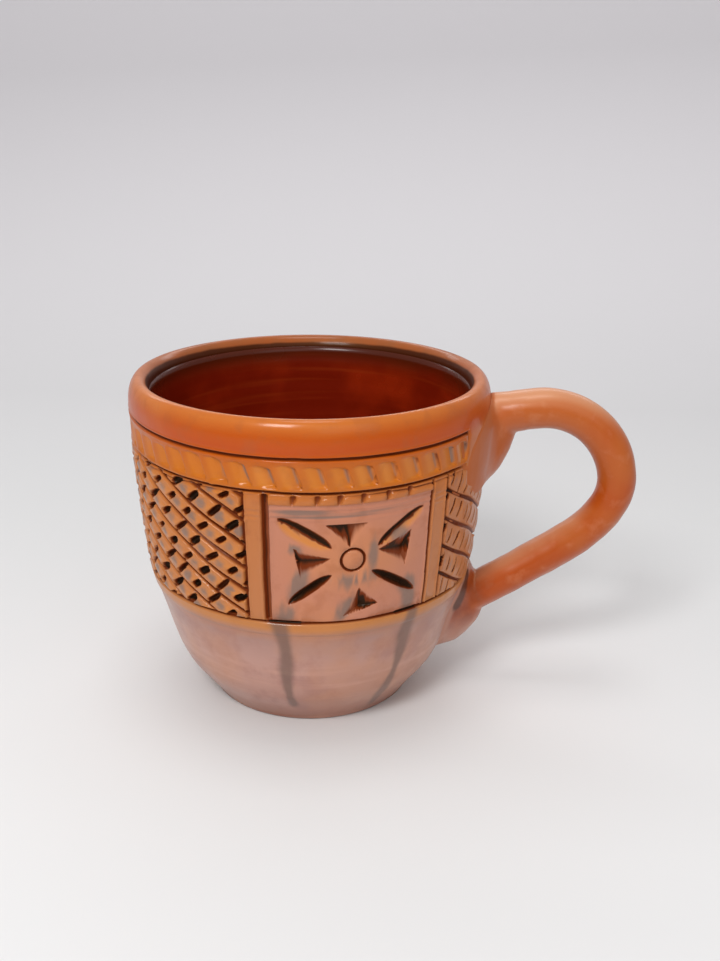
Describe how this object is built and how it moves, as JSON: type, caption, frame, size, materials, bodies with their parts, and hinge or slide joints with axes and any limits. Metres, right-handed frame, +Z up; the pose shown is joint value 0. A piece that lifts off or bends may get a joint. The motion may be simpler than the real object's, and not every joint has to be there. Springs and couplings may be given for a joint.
{
  "type": "handled clay mug",
  "caption": "Thrown clay mug with a carved wall of flower panels and lattice, a fluted band, a pulled loop handle and a dark glazed inside.",
  "frame": {"origin": "centre of the flat foot, on the mug's axis, where it stands on the table", "axes": "+Z up along the mug's axis, +X towards the handle"},
  "size_m": [0.1352, 0.096, 0.09],
  "materials": {
    "glazed_terracotta": "clear amber glaze over orange clay, with grey brown stains in the cuts",
    "inside_glaze": "glossy dark red brown glaze",
    "handle_clay": "clear amber glaze over smooth orange clay",
    "luting_clay": "clear amber glaze over clay smoothed by hand"
  },
  "bodies": {
    "root": {"body": "glazed_terracotta", "inside_glaze": "inside_glaze", "handle": "handle_clay", "upper_luting": "luting_clay", "lower_luting": "luting_clay"}
  },
  "joints": []
}
